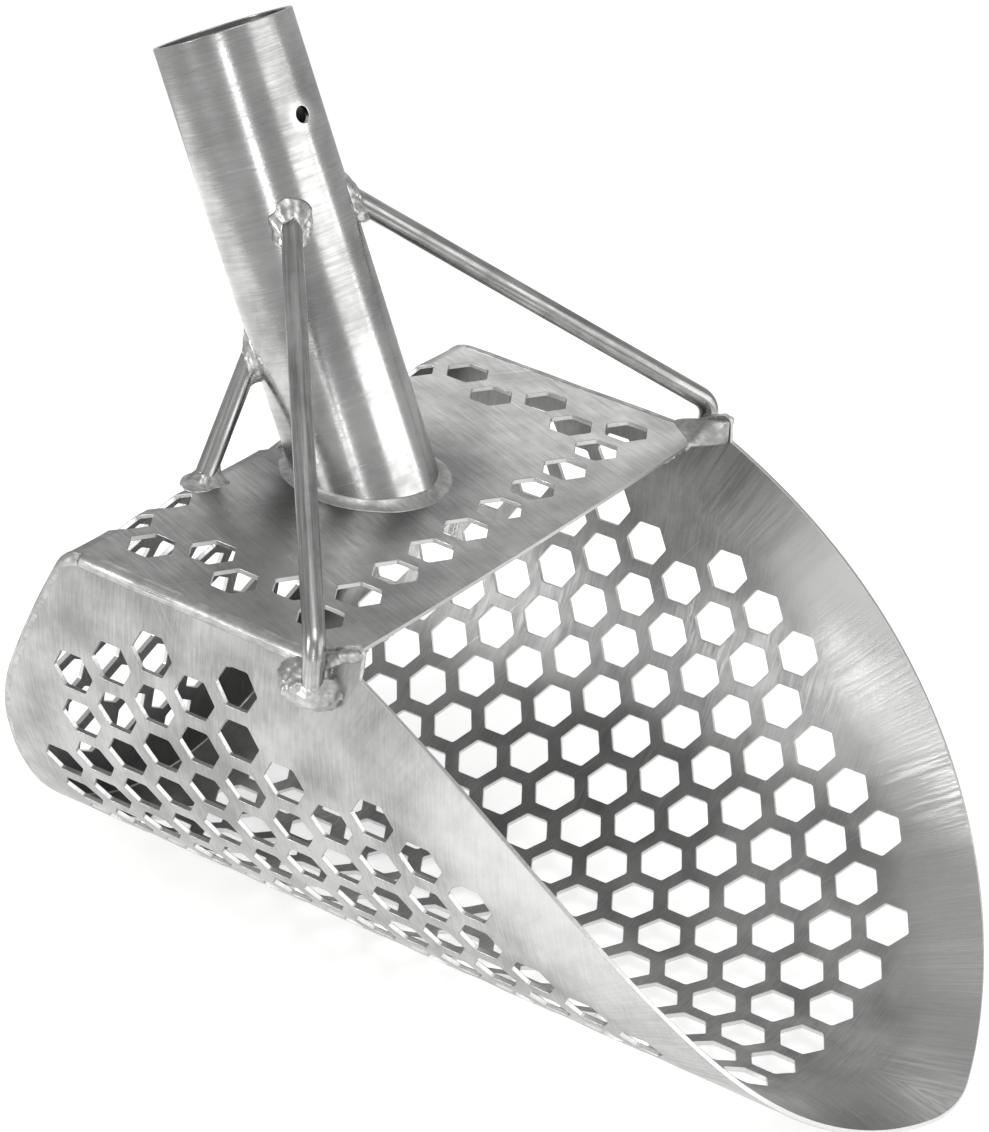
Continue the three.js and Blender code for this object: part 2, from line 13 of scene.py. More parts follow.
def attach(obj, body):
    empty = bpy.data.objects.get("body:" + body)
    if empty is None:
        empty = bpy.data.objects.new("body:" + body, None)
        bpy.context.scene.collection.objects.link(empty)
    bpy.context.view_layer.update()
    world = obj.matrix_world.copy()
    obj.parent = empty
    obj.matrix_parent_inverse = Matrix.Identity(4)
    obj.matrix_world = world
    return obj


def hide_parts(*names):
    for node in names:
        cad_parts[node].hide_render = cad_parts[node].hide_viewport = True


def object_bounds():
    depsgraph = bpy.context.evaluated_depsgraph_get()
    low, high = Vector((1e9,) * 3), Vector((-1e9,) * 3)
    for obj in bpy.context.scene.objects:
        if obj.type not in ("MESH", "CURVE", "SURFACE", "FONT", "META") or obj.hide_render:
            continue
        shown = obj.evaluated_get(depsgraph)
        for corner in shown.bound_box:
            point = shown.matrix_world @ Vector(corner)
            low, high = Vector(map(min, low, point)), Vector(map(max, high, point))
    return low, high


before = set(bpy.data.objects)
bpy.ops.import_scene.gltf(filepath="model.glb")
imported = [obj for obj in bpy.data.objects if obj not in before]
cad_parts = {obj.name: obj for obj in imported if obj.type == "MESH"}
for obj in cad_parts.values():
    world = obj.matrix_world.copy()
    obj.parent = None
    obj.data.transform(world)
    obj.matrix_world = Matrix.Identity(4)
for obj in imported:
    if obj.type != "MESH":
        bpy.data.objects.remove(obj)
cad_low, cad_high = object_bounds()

MM = 0.001
SIDES = {"left": 1, "right": -1}

# ---- Driving dimensions, as in the CAD ----

SHEET = 1.5 * MM
GAP = 0.3 * MM
PITCH = 16.5 * MM
HEX_FLATS = 12 * MM
COLUMN_STEP = PITCH * math.sqrt(3) / 2

BASKET_DEPTH = 124.7 * MM
BOTTOM_RADIUS = 85.3 * MM
BOTTOM_HALF_ANGLE = math.radians(56.7)
SIDE_RADIUS = 128.6 * MM
BASKET_PITCH = math.radians(1.83)
FIRST_COLUMN = 44.4 * MM
DIAGONAL_LIMIT = 7.5 * PITCH
TOP_HOLE = 9.5 * PITCH
MOUTH_MARGIN = 1.5 * PITCH
REAR_MARGIN = 1.0 * PITCH
MOUTH_RADIUS = 269.8 * MM
MOUTH_CENTRE_ACROSS = 66.8 * MM
MOUTH_CENTRE_BACK = 96.7 * MM
LIP_RADIUS = 38.2 * MM
EAR_HEIGHT = 8 * MM
EAR_FRONT = -26 * MM
EAR_SLOPE = 2.5 * MM
EAR_RADIUS = 2.5 * MM

DECK_FRONT = 17.6 * MM
DECK_BOW = 1.2 * MM
DECK_BACK = 67.6 * MM
UPPER_BEND_RADIUS = 9 * MM
UPPER_BEND_ANGLE = math.radians(65.5)
BACK_UPPER_LENGTH = 42 * MM
LOWER_BEND_RADIUS = 100 * MM
LOWER_BEND_ANGLE = math.radians(17)
HOOD_SIDE_MARGIN = 1.05 * PITCH
BEND_ROW = 5

SOCKET_RADIUS = 20 * MM
SOCKET_WALL = 1.5 * MM
SOCKET_LEAN = math.radians(26.3)
SOCKET_LENGTH = 130 * MM
SOCKET_FOOT = 40.7 * MM
BASE_WELD = 3.5 * MM
BOLT_RADIUS = 2.3 * MM
BOLT_HEIGHT = 102 * MM
BOLT_TURN = math.radians(-5)
SOCKET_SEAM_TURN = math.radians(120)

ROD_RADIUS = 3 * MM
FRONT_STRUT_HEIGHT = 76 * MM
FRONT_STRUT_TURN = math.radians(43)
FRONT_FOOT = Vector((96.5, -14.5, -7)) * MM
FRONT_BEND_HEIGHT = 6.6 * MM
ROD_BEND_RADIUS = 7 * MM
REAR_STRUT_HEIGHT = 43 * MM
REAR_STRUT_TURN = math.radians(140)
REAR_FOOT = Vector((36, 70.5, 0)) * MM

# Fine detail that only the looks have
CAD_SEAM = 2.5 * MM             # the CAD's own seam, which its hole rules start from
SEAM_CUT = 1.2 * MM             # the sheets end this far from a welded corner
SEAM_FACE = 3.4 * MM            # the ground seam reaches this far over each sheet
SEAM_PROUD = 0.03 * MM
EDGE_BEVEL = 0.25 * MM          # softened edges of cut sheet
HOLE_CORNER = 0.9 * MM          # the punched hexagons' corner radius
GRID = 5 * MM                   # mesh spacing in plain sheet
RIM_BAND = 32 * MM              # width of the band brushed across, beside the mouth
HIGHLIGHT_MIDDLE = math.radians(49)  # where round the mouth's arc the band's painted highlight is brightest
VOXEL = 0.45 * MM               # lumpy welds are fused blobs, remeshed at this size
INSIDE_EDGES = 1                # triangulate only inside the outline
FLOOR_RADIUS = 520 * MM         # the round floor under the scoop
ROD_IN_WALL = 1 * MM            # a rod's end is sunk this far into the socket's wall
WELD_SUNK = 0.5 * MM            # a fillet's edges are sunk this far into what they join
WELD_ROOT = 0.6 * MM            # and its root this far
SAME_PLACE = 0.02 * MM          # points of an outline closer than this are one

# Where the camera stands from the object's centre, and how far the view is moved aside and up
CAMERA_AZIMUTH = math.radians(-57.99)
CAMERA_ELEVATION = math.radians(28.67)
CAMERA_ROLL = math.radians(5.26)
CAMERA_DISTANCE = 0.8853
CAMERA_ASIDE = -0.0176
CAMERA_ABOVE = -0.0032
CAMERA_LENS = 102.88
SENSOR_WIDTH = 36
CENTRE = (cad_low + cad_high) / 2

# Soft area lights: name, direction from the object's centre, distance, width and height, watts
LIGHTS = [
    ("key", (-0.35, -0.3, 1.0), 1.6, (1.0, 1.0), 7),
    ("rim", (-0.86, 0.46, 0.24), 1.8, (0.35, 0.8), 10),
    ("streak", (-0.89, -0.46, 0.04), 1.6, (0.18, 0.9), 3.4),
    ("band", (0.2, -0.95, 0.23), 1.6, (1.2, 1.0), 6),
    ("line", (0.62, -0.75, 0.1), 1.6, (0.16, 0.9), 1.8),
    ("back", (0.76, 0.45, 0.5), 1.8, (1.2, 1.0), 1.4),
]

# Greys (darkest, lightest) and roughness (dullest, glossiest) of each steel
BASKET_TONES = (0.28, 0.54)
BASKET_ROUGHNESS = (0.42, 0.28)
HOOD_TONES = (0.36, 0.64)
HOOD_ROUGHNESS = (0.4, 0.27)
TUBE_TONES = (0.34, 0.62)
TUBE_ROUGHNESS = (0.3, 0.16)
ROD_TONES = (0.25, 0.55)
ROD_ROUGHNESS = (0.34, 0.2)
BEAD_TONES = (0.3, 0.8)
BEAD_ROUGHNESS = (0.42, 0.22)
GROUND_TONES = (0.36, 0.6)
GROUND_ROUGHNESS = (0.55, 0.36)
CUT_TONE = 0.66                 # a cut edge
SCRATCH_AND_HIGHLIGHT_TONE = 0.95              # scratches, and the painted highlight where the band beside the mouth is brightest
BAND_TONE = 0.42                # the band beside the mouth, away from its painted highlight
BOLT_RING_TONE = 0.9            # burnished metal round the bolt hole

# The deck's front row, where the dimensions start, seen from the frame's origin at the socket's mouth
SOCKET_AXIS = Vector((0, math.sin(SOCKET_LEAN), math.cos(SOCKET_LEAN)))
DECK_ORIGIN = -(Vector((0, SOCKET_FOOT, 0)) + SOCKET_LENGTH * SOCKET_AXIS)

# ---- The bent sheets' geometry: lines made of straight runs and arcs, (length, curvature) ----

GIRTH = [(BOTTOM_RADIUS * BOTTOM_HALF_ANGLE, 1 / BOTTOM_RADIUS), (math.inf, 1 / SIDE_RADIUS)]
HOOD_LINE = [
    (DECK_BACK, 0),
    (UPPER_BEND_RADIUS * UPPER_BEND_ANGLE, 1 / UPPER_BEND_RADIUS),
    (BACK_UPPER_LENGTH, 0),
    (LOWER_BEND_RADIUS * LOWER_BEND_ANGLE, 1 / LOWER_BEND_RADIUS),
    (math.inf, 0),
]
LONGEST_LINE = 300 * MM


def follow(line, distance):
    """Run, drop and heading after a distance along a line of straight runs and arcs."""
    run = drop = heading = 0.0
    for length, curvature in line:
        step = min(distance, length)
        if curvature:
            turned = heading + step * curvature
            run += (math.sin(turned) - math.sin(heading)) / curvature
            drop += (math.cos(heading) - math.cos(turned)) / curvature
            heading = turned
        else:
            run += step * math.cos(heading)
            drop += step * math.sin(heading)
        distance -= step
        if distance <= 0:
            break
    return run, drop, heading


def distance_at_drop(line, drop, longest=LONGEST_LINE):
    low, high = 0.0, longest
    for _ in range(40):
        middle = (low + high) / 2
        if follow(line, middle)[1] < drop:
            low = middle
        else:
            high = middle
    return low


def basket_place(around, back, inward):
    """A point of the basket's sheet and the normal on its inner side, from its middle."""
    run, rise, heading = follow(GIRTH, abs(around))
    side = math.copysign(1, around)
    normal = Vector((-side * math.sin(heading), 0, math.cos(heading)))
    point = Vector((side * run, back, rise - BASKET_DEPTH)) + inward * normal
    tilt = Matrix.Rotation(-BASKET_PITCH, 3, "X")
    return DECK_ORIGIN + tilt @ point, tilt @ normal


def hood_place(across, back, outward):
    """A point of the hood's sheet and the normal on its outer side, from its middle."""
    run, drop, heading = follow(HOOD_LINE, back)
    normal = Vector((0, math.sin(heading), math.cos(heading)))
    point = Vector((across, run, -drop)) + (outward - SHEET / 2) * normal
    return DECK_ORIGIN + point, normal


def socket_place(around, along, outward):
    """A point of the socket's wall and the normal on its outer side, from its middle."""
    radius = SOCKET_RADIUS - SOCKET_WALL / 2
    turn = around / radius
    tilt = Matrix.Rotation(-SOCKET_LEAN, 3, "X")
    normal = tilt @ Vector((math.sin(turn), -math.cos(turn), 0))
    foot = DECK_ORIGIN + Vector((0, SOCKET_FOOT, 0))
    return foot + along * SOCKET_AXIS + (radius + outward) * normal, normal


def back_face(height):
    """How far back the hood's outer face is at a height over the deck."""
    return follow(HOOD_LINE, distance_at_drop(HOOD_LINE, max(-height, 0)))[0]


def back_along_basket(around, short, inward=0.0):
    """Where the basket's sheet has to end to stop short of the back's outer face."""
    back = back_face(-BASKET_DEPTH / 2)
    for _ in range(8):
        point = basket_place(around, back, inward)[0] - DECK_ORIGIN
        back += back_face(point.z) - short - point.y
    return back


def girth_at_height(height, back):
    local = height / math.cos(BASKET_PITCH) + back * math.tan(BASKET_PITCH)
    return distance_at_drop(GIRTH, BASKET_DEPTH + local)


def half_width(back):
    """Half the basket's outer width at the deck."""
    return follow(GIRTH, girth_at_height(0, back))[0] + SHEET / 2


# ---- Flat outlines: metal lies to the left of every loop ----


def arc(centre, radius, start, end, steps):
    return [
        (centre[0] + radius * math.cos(angle), centre[1] + radius * math.sin(angle))
        for angle in (start + (end - start) * i / steps for i in range(steps + 1))
    ]


def divided(loop, longest):
    """The loop with points added so that no edge is longer than that."""
    points = []
    for (ax, ay), (bx, by) in zip(loop, loop[1:] + loop[:1]):
        count = max(1, math.ceil(math.hypot(bx - ax, by - ay) / longest))
        points += [(ax + (bx - ax) * i / count, ay + (by - ay) * i / count) for i in range(count)]
    return points


def hexagon(x, y):
    """A punched hole, clockwise, with softly rounded corners that point along the sheet."""
    reach = (HEX_FLATS / 2 - HOLE_CORNER) / math.cos(math.radians(30))
    points = []
    for i in range(6):
        middle = math.radians(90 - 60 * i)
        centre = (x + reach * math.cos(middle), y + reach * math.sin(middle))
        points += arc(centre, HOLE_CORNER, middle + math.radians(30), middle - math.radians(30), 3)
    return points


def seam_girths(steps=60):
    """Girths from just under the deck down to the lowest line, where the back's seam is measured."""
    top = girth_at_height(-0.1 * MM, DECK_BACK)
    return [top * (1 - i / steps) for i in range(steps + 1)]


def basket_outline():
    """Flat blank of the basket, y back along it, with its top and rear edges under the seam."""
    lip_drop = math.sqrt((MOUTH_RADIUS - LIP_RADIUS) ** 2 - MOUTH_CENTRE_ACROSS ** 2)
    lip_angle = math.atan2(-lip_drop, MOUTH_CENTRE_ACROSS)
    lip_centre = (0, MOUTH_CENTRE_BACK - lip_drop)
    ear_angle = math.asin((EAR_FRONT - MOUTH_CENTRE_BACK) / MOUTH_RADIUS)
    ear_top = girth_at_height(EAR_HEIGHT, EAR_FRONT)
    ear_centre = (ear_top - EAR_RADIUS, EAR_FRONT + EAR_RADIUS)
    wall_front = girth_at_height(-SEAM_CUT, -DECK_FRONT)
    wall_back = girth_at_height(-SEAM_CUT, DECK_BACK)
    lip = arc(lip_centre, LIP_RADIUS, -math.pi / 2, lip_angle, 8)
    mouth = arc((-MOUTH_CENTRE_ACROSS, MOUTH_CENTRE_BACK), MOUTH_RADIUS, lip_angle, ear_angle, 60)
    ear = arc(ear_centre, EAR_RADIUS, -math.pi / 2, 0, 6)
    left = lip + mouth + ear + [(ear_top - EAR_SLOPE, -DECK_FRONT), (wall_front, -DECK_FRONT)]
    left.append((wall_back, DECK_BACK - SEAM_CUT))
    left += [(g, back_along_basket(g, SEAM_CUT)) for g in seam_girths() if g < wall_back]
    right = [(-x, y) for x, y in reversed(left)]
    return without_repeats(left + right)


def without_repeats(loop):
    kept = [loop[0]]
    for point in loop[1:]:
        if math.dist(point, kept[-1]) > SAME_PLACE:
            kept.append(point)
    return kept if math.dist(kept[0], kept[-1]) > SAME_PLACE else kept[:-1]


def basket_hole_places():
    places = []
    for column in range(-9, 6):
        ahead = FIRST_COLUMN + COLUMN_STEP * column
        shift = 0.5 if column % 2 == 0 else 0
        for row in range(-10, 11):
            around = PITCH * (row + shift)
            across = abs(around) + MOUTH_CENTRE_ACROSS
            to_mouth = MOUTH_RADIUS - math.hypot(across, ahead + MOUTH_CENTRE_BACK)
            to_rear = back_along_basket(around, CAD_SEAM) + ahead
            in_rows = abs(around) <= TOP_HOLE and abs(around) + PITCH * column / 2 <= DIAGONAL_LIMIT
            if in_rows and to_mouth >= MOUTH_MARGIN and to_rear >= REAR_MARGIN:
                places.append((around, -ahead))
    return places


def hood_edge(seam):
    """The back's edge in the flat, from the deck's bend down to the lowest line."""
    inward = seam - SHEET / 2
    edge = []
    for girth in seam_girths():
        point = basket_place(girth, back_along_basket(girth, 0, inward), inward)[0] - DECK_ORIGIN
        edge.append((point.x, distance_at_drop(HOOD_LINE, -point.z)))
    return edge


def hood_outline():
    edge = hood_edge(SEAM_CUT)
    front = half_width(-DECK_FRONT) - SEAM_CUT
    back = half_width(DECK_BACK) - SEAM_CUT
    steps = 30
    loop = [
        (front * t, -DECK_FRONT - DECK_BOW * (1 - t * t))
        for t in (-1 + 2 * i / steps for i in range(steps + 1))
    ]
    edge = [point for point in edge if point[1] > DECK_BACK + 1 * MM]
    loop += [(back, DECK_BACK)] + edge
    loop += [(-x, y) for x, y in reversed(edge[:-1])] + [(-back, DECK_BACK)]
    return without_repeats(loop)


def is_hood_hole(row, across, edge):
    """In the deck the holes stop beside the socket; in the back they fill the sheet."""
    if 0 < row <= BEND_ROW:
        return across >= (4 if row < BEND_ROW else 3) or (row == BEND_ROW and across < 1)
    x = PITCH * across
    y = COLUMN_STEP * row
    level = next((point for point in edge if point[1] >= y), None)
    if level is None or x >= level[0]:
        return False
    return all(math.dist(point, (x, y)) >= HOOD_SIDE_MARGIN for point in edge)


def hood_hole_places():
    edge = hood_edge(CAD_SEAM)
    places = []
    for row in range(int(edge[-1][1] / COLUMN_STEP) + 1):
        shift = 0.5 if row % 2 == 0 else 0
        for place in range(-5, 5):
            across = place + shift
            if abs(across) <= 4.5 and is_hood_hole(row, abs(across), edge):
                places.append((PITCH * across, COLUMN_STEP * row))
    return places


# ---- Mesh helpers ----


def new_object(name, data):
    made = bpy.data.objects.new(name, data)
    bpy.context.scene.collection.objects.link(made)
    return made


def new_piece(name, verts, faces, material, node, normals=None, flat=None, finish=None):
    """Makes a smooth mesh object that rides on the frame and stands for its CAD node.

    Vertices at one place become one, so that a rolled sheet closes; flat keeps both their places.
    """
    places = {}
    merged = [places.setdefault(tuple(round(c, 7) for c in v), len(places)) for v in verts]
    mesh = bpy.data.meshes.new(name)
    mesh.from_pydata(list(places), [], [[merged[i] for i in face] for face in faces])
    mesh.polygons.foreach_set("use_smooth", [True] * len(mesh.polygons))
    if flat:
        layer = mesh.uv_layers.new(name="flat")
        layer.data.foreach_set("uv", [c for face in faces for i in face for c in flat[i]])
    if finish:
        kept = dict(zip(merged, finish))
        layer = mesh.color_attributes.new("finish", "FLOAT_COLOR", "POINT")
        layer.data.foreach_set("color", [c for i in range(len(places)) for c in (*kept[i], 1)])
    if normals:
        kept = dict(zip(merged, normals))
        mesh.normals_split_custom_set_from_vertices([kept[i] for i in range(len(places))])
    else:
        turned = bmesh.new()
        turned.from_mesh(mesh)
        bmesh.ops.recalc_face_normals(turned, faces=turned.faces)
        turned.to_mesh(mesh)
        turned.free()
    mesh.materials.append(material)
    piece = new_object(name, mesh)
    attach(piece, "root")
    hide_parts(node)
    return piece


def left_normals(loop):
    """At each point of a loop, the direction into the metal, long enough to offset both edges alike."""
    normals = []
    count = len(loop)
    for i in range(count):
        before = Vector(loop[i]) - Vector(loop[i - 1])
        after = Vector(loop[(i + 1) % count]) - Vector(loop[i])
        a = Vector((-before.y, before.x)).normalized()
        b = Vector((-after.y, after.x)).normalized()
        middle = (a + b).normalized()
        normals.append(middle / max(middle.dot(a), 0.5))
    return normals


def inside(point, loop):
    x, y = point
    hit = False
    for (ax, ay), (bx, by) in zip(loop, loop[1:] + loop[:1]):
        if (ay > y) != (by > y) and x < ax + (y - ay) / (by - ay) * (bx - ax):
            hit = not hit
    return hit


def search_tree(points):
    tree = KDTree(max(len(points), 1))
    for i, (x, y) in enumerate(points):
        tree.insert((x, y, 0), i)
    tree.balance()
    return tree


def grid_points(loops, hole_places, spacing):
    """A triangular grid that fills the plain parts of a blank, clear of its edges and holes."""
    outline = loops[0]
    near = search_tree([point for loop in loops for point in loop])
    holes = search_tree(hole_places)
    hole_room = HEX_FLATS / math.sqrt(3) + 0.6 * spacing
    xs = [x for x, y in outline]
    ys = [y for x, y in outline]
    points = []
    row_step = spacing * math.sqrt(3) / 2
    for j in range(int((max(ys) - min(ys)) / row_step) + 1):
        y = min(ys) + j * row_step
        for i in range(int((max(xs) - min(xs)) / spacing) + 1):
            point = (min(xs) + (i + 0.5 * (j % 2)) * spacing, y)
            clear = near.find((*point, 0))[2] > 0.6 * spacing
            if hole_places:
                clear = clear and holes.find((*point, 0))[2] > hole_room
            if clear and inside(point, outline):
                points.append(point)
    return points


def fills_hole(loops):
    """Whether a triangle's corners all lie on one hole's edge; loop 0 is the outline."""
    return loops[0] > 0 and loops[0] == loops[1] == loops[2]


def sheet_triangles(loops, flat_points):
    """Triangles between the loops, whose points come first, with every hole left open."""
    edges = []
    loop_of = {}
    for number, loop in enumerate(loops):
        start = len(loop_of)
        edges += [(start + i, start + (i + 1) % len(loop)) for i in range(len(loop))]
        loop_of.update((start + i, number) for i in range(len(loop)))
    scaled = [point / MM for point in flat_points]
    made = delaunay_2d_cdt(scaled, edges, [], INSIDE_EDGES, 1e-5)
    source = [origin[0] for origin in made[3]]
    triangles = [[source[i] for i in face] for face in made[2]]
    return [t for t in triangles if not fills_hole([loop_of.get(i, 0) for i in t])]


def sheet_piece(name, outline, holes, hole_places, place, thickness, material, node,
                spacing=GRID, rolled=False, inner_side=-1, rim=None):
    """A bent sheet with softened edges. Its faces are triangulated in the flat and then placed.

    A rolled sheet closes on itself: its left and right sides meet and have no edge.
    Its finish is how far a place is an inner face, a cut edge, and part of the brushed rim.
    """
    loops = [divided(outline, spacing)] + holes
    sides = [min(outline)[0], max(outline)[0]] if rolled else []

    def on_seam(point):
        return any(abs(point[0] - side) < EDGE_BEVEL for side in sides)

    into_metal = []
    for loop in loops:
        pairs = zip(loop, left_normals(loop))
        into_metal.append([Vector((0, n.y)) if on_seam(p) else n for p, n in pairs])
    flat_points = []
    for loop, directions in zip(loops, into_metal):
        flat_points += [Vector(p) + EDGE_BEVEL * n for p, n in zip(loop, directions)]
    flat_points += [Vector(p) for p in grid_points(loops, hole_places, spacing)]
    triangles = sheet_triangles(loops, flat_points)

    verts = []
    normals = []
    flat = []
    finish = []

    def add(point, height, direction=None):
        """Adds a vertex; its normal is the sheet's own, or lies along the sheet in a direction."""
        position, normal = place(point[0], point[1], height)
        if direction is None:
            normal = normal if height > 0 else -normal
        else:
            step = 0.5 * MM * direction.normalized()
            ahead = place(point[0] + step.x, point[1] + step.y, height)[0]
            normal = (ahead - position).normalized()
        verts.append(position)
        normals.append(normal)
        flat.append((point[0], point[1]))
        finish.append((height * inner_side > 0, direction is not None, rim(point) if rim else 0))

    half = thickness / 2
    for point in flat_points:
        add(point, half)
    for point in flat_points:
        add(point, -half)
    count = len(flat_points)
    faces = [tuple(t) for t in triangles]
    faces += [tuple(i + count for i in reversed(t)) for t in triangles]
    start = 0
    for loop, directions in zip(loops, into_metal):
        size = len(loop)
        upper = len(verts)
        for point, direction in zip(loop, directions):
            add(point, half - EDGE_BEVEL, -direction)
        lower = len(verts)
        for point, direction in zip(loop, directions):
            add(point, -half + EDGE_BEVEL, -direction)
        for i in range(size):
            j = (i + 1) % size
            if on_seam(loop[i]) and on_seam(loop[j]):
                continue
            faces.append((start + j, start + i, upper + i, upper + j))
            faces.append((upper + j, upper + i, lower + i, lower + j))
            faces.append((lower + j, lower + i, count + start + i, count + start + j))
        start += size
    return new_piece(name, verts, faces, material, node, normals, flat, finish)


def bar_sides(count, size):
    """Faces along a bar, without its ends: a section of so many points, at so many stations."""
    faces = []
    for k in range(count - 1):
        for i in range(size):
            j = (i + 1) % size
            faces.append((k * size + i, k * size + j, (k + 1) * size + j, (k + 1) * size + i))
    return faces


def frames_along(points):
    """Stations (origin, side, up) along a line of points, turned as little as possible."""
    stations = []
    side = None
    for i, point in enumerate(points):
        ahead = points[min(i + 1, len(points) - 1)] - points[max(i - 1, 0)]
        ahead.normalize()
        if side is None:
            side = ahead.orthogonal().normalized()
        side = (side - side.dot(ahead) * ahead).normalized()
        stations.append((point, side, ahead.cross(side)))
    return stations


# ---- Sheet pieces ----


def in_rim(point):
    """1 at the mouth's edge, fading to 0 where the band brushed along it ends."""
    reach = math.hypot(abs(point[0]) + MOUTH_CENTRE_ACROSS, point[1] - MOUTH_CENTRE_BACK)
    inside_edge = max(MOUTH_RADIUS - reach, point[1] - EAR_FRONT, 0)
    return max(0, 1 - inside_edge / RIM_BAND)


def make_basket(material):
    places = basket_hole_places()
    holes = [hexagon(x, y) for x, y in places]
    return sheet_piece("basket", basket_outline(), holes, places, basket_place, SHEET, material,
                       "basket_shell", inner_side=1, rim=in_rim)


def make_hood(material):
    places = hood_hole_places()
    holes = [hexagon(x, y) for x, y in places]
    return sheet_piece("hood", hood_outline(), holes, places, hood_place, SHEET, material,
                       "hood_plate")


def make_socket(material):
    """The tube as a rolled sheet: its lower edge is a wave that meets the deck all round."""
    radius = SOCKET_RADIUS - SOCKET_WALL / 2
    steps = 120
    turns = [SOCKET_SEAM_TURN + 2 * math.pi * (i / steps - 1) for i in range(steps + 1)]
    lean = math.tan(SOCKET_LEAN)
    outline = [(radius * turn, -SOCKET_RADIUS * math.cos(turn) * lean + GAP) for turn in turns]
    outline += [(radius * turn, SOCKET_LENGTH) for turn in reversed(turns)]
    holes = []
    for turn in (BOLT_TURN, BOLT_TURN - math.pi):
        holes.append(arc((radius * turn, BOLT_HEIGHT), BOLT_RADIUS, 2 * math.pi, math.pi / 16, 31))
    return sheet_piece("socket", outline, holes, [], socket_place, SOCKET_WALL, material,
                       "handle_socket", spacing=2.5 * MM, rolled=True)


# ---- Rods ----


def socket_point(height, turn, radius):
    return socket_place(turn * (SOCKET_RADIUS - SOCKET_WALL / 2), height,
                        radius - SOCKET_RADIUS + SOCKET_WALL / 2)[0]


def on_side(point, side):
    return DECK_ORIGIN + Vector((point.x * side, point.y, point.z))


def front_strut_line(side):
    """From inside the socket's wall, straight, round the bend and down outside the basket."""
    start = socket_point(FRONT_STRUT_HEIGHT, side * FRONT_STRUT_TURN, SOCKET_RADIUS - ROD_IN_WALL)
    foot = on_side(FRONT_FOOT, side)
    corner = on_side(Vector((FRONT_FOOT.x, FRONT_FOOT.y, FRONT_BEND_HEIGHT)), side)
    to_start = (start - corner).normalized()
    to_foot = (foot - corner).normalized()
    half = to_start.angle(to_foot) / 2
    centre = corner + (to_start + to_foot).normalized() * ROD_BEND_RADIUS / math.sin(half)
    setback = ROD_BEND_RADIUS / math.tan(half)
    first = corner + setback * to_start - centre
    last = corner + setback * to_foot - centre
    axis = first.cross(last).normalized()
    sweep = first.angle(last)
    bend = [centre + Matrix.Rotation(sweep * i / 14, 3, axis) @ first for i in range(15)]
    run = [start.lerp(bend[0], i / 30) for i in range(30)]
    return run + bend + [bend[-1].lerp(foot, i / 4) for i in range(1, 5)]


def rear_strut_line(side):
    start = socket_point(REAR_STRUT_HEIGHT, side * REAR_STRUT_TURN, SOCKET_RADIUS - ROD_IN_WALL)
    foot = on_side(REAR_FOOT, side)
    return [start.lerp(foot, i / 20) for i in range(21)]


def make_rod(name, line, material):
    """A round rod along a line of points."""
    sides = 32
    section = [
        (ROD_RADIUS * math.cos(2 * math.pi * i / sides), ROD_RADIUS * math.sin(2 * math.pi * i / sides))
        for i in range(sides)
    ]
    stations = frames_along(line)
    verts = [o + p * a + q * b for o, a, b in stations for p, q in section]
    faces = bar_sides(len(stations), sides)
    faces.append(tuple(reversed(range(sides))))
    faces.append(tuple(range(len(verts) - sides, len(verts))))
    run = 0.0
    flat = []
    for k in range(len(stations)):
        if k:
            run += (stations[k][0] - stations[k - 1][0]).length
        flat += [(2 * math.pi * ROD_RADIUS * i / sides, run) for i in range(sides)]
    return new_piece(name, verts, faces, material, name.replace("_rod", ""), flat=flat)


# ---- Welds ----


def deck_surface(point):
    """Height over the deck, and the deck's normal."""
    return point.z - DECK_ORIGIN.z, Vector((0, 0, 1))


def socket_surface(point):
    """Height over the socket's outside, and its normal there."""
    offset = point - DECK_ORIGIN - Vector((0, SOCKET_FOOT, 0))
    radial = offset - offset.dot(SOCKET_AXIS) * SOCKET_AXIS
    return radial.length - SOCKET_RADIUS, radial.normalized()


def where_it_enters(skin, axis, surface):
    """The point along a rod's skin line at which the line goes into a surface."""
    low = -15 * MM
    high = 25 * MM
    for _ in range(30):
        middle = (low + high) / 2
        if surface(skin + middle * axis)[0] < 0:
            low = middle
        else:
            high = middle
    return skin + low * axis


def fillet_weld(node, origin, axis, radius, surface, climb, reach, material, seed, lumps, fullness,
                around=64):
    """A fillet round a bar that stands on a surface: hollow below fullness 1, bulging above it.

    Its axis points out of the surface; it climbs the bar and reaches along the surface.
    """
    steps = 10
    side = axis.orthogonal().normalized()
    other = axis.cross(side)
    verts = []
    flat = []
    for i in range(around):
        angle = 2 * math.pi * i / around
        direction = math.cos(angle) * side + math.sin(angle) * other
        corner = where_it_enters(origin + radius * direction, axis, surface)
        up = surface(corner)[1]
        along = (direction - direction.dot(up) * up).normalized()
        swell = 1 + lumps * (noise.noise(1.4 * direction + Vector((seed, 0, 0)))
                             + 0.3 * noise.noise(3 * direction + Vector((0, seed, 0))))
        top = corner + climb * swell * axis
        foot = corner + reach * swell * along
        height, foot_up = surface(foot)
        foot = foot - height * foot_up
        bend = corner.lerp((top + foot) / 2, fullness)
        section = [corner - WELD_ROOT * (up + direction), top - WELD_SUNK * direction]
        for k in range(steps + 1):
            t = k / steps
            point = (1 - t) ** 2 * top + 2 * t * (1 - t) * bend + t ** 2 * foot
            ripple = noise.noise(point / (1.3 * MM)) * math.sin(math.pi * t)
            section.append(point + 0.5 * lumps * MM * ripple * (up + direction).normalized())
        section.append(foot - WELD_SUNK * foot_up)
        verts += section
        flat += [(radius * angle, k * reach / steps) for k in range(len(section))]
    size = len(section)
    faces = []
    for i in range(around):
        following = (i + 1) % around
        for k in range(size):
            m = (k + 1) % size
            faces.append((i * size + k, following * size + k, following * size + m, i * size + m))
    return new_piece(node + "_fillet", verts, faces, material, node, flat=flat)


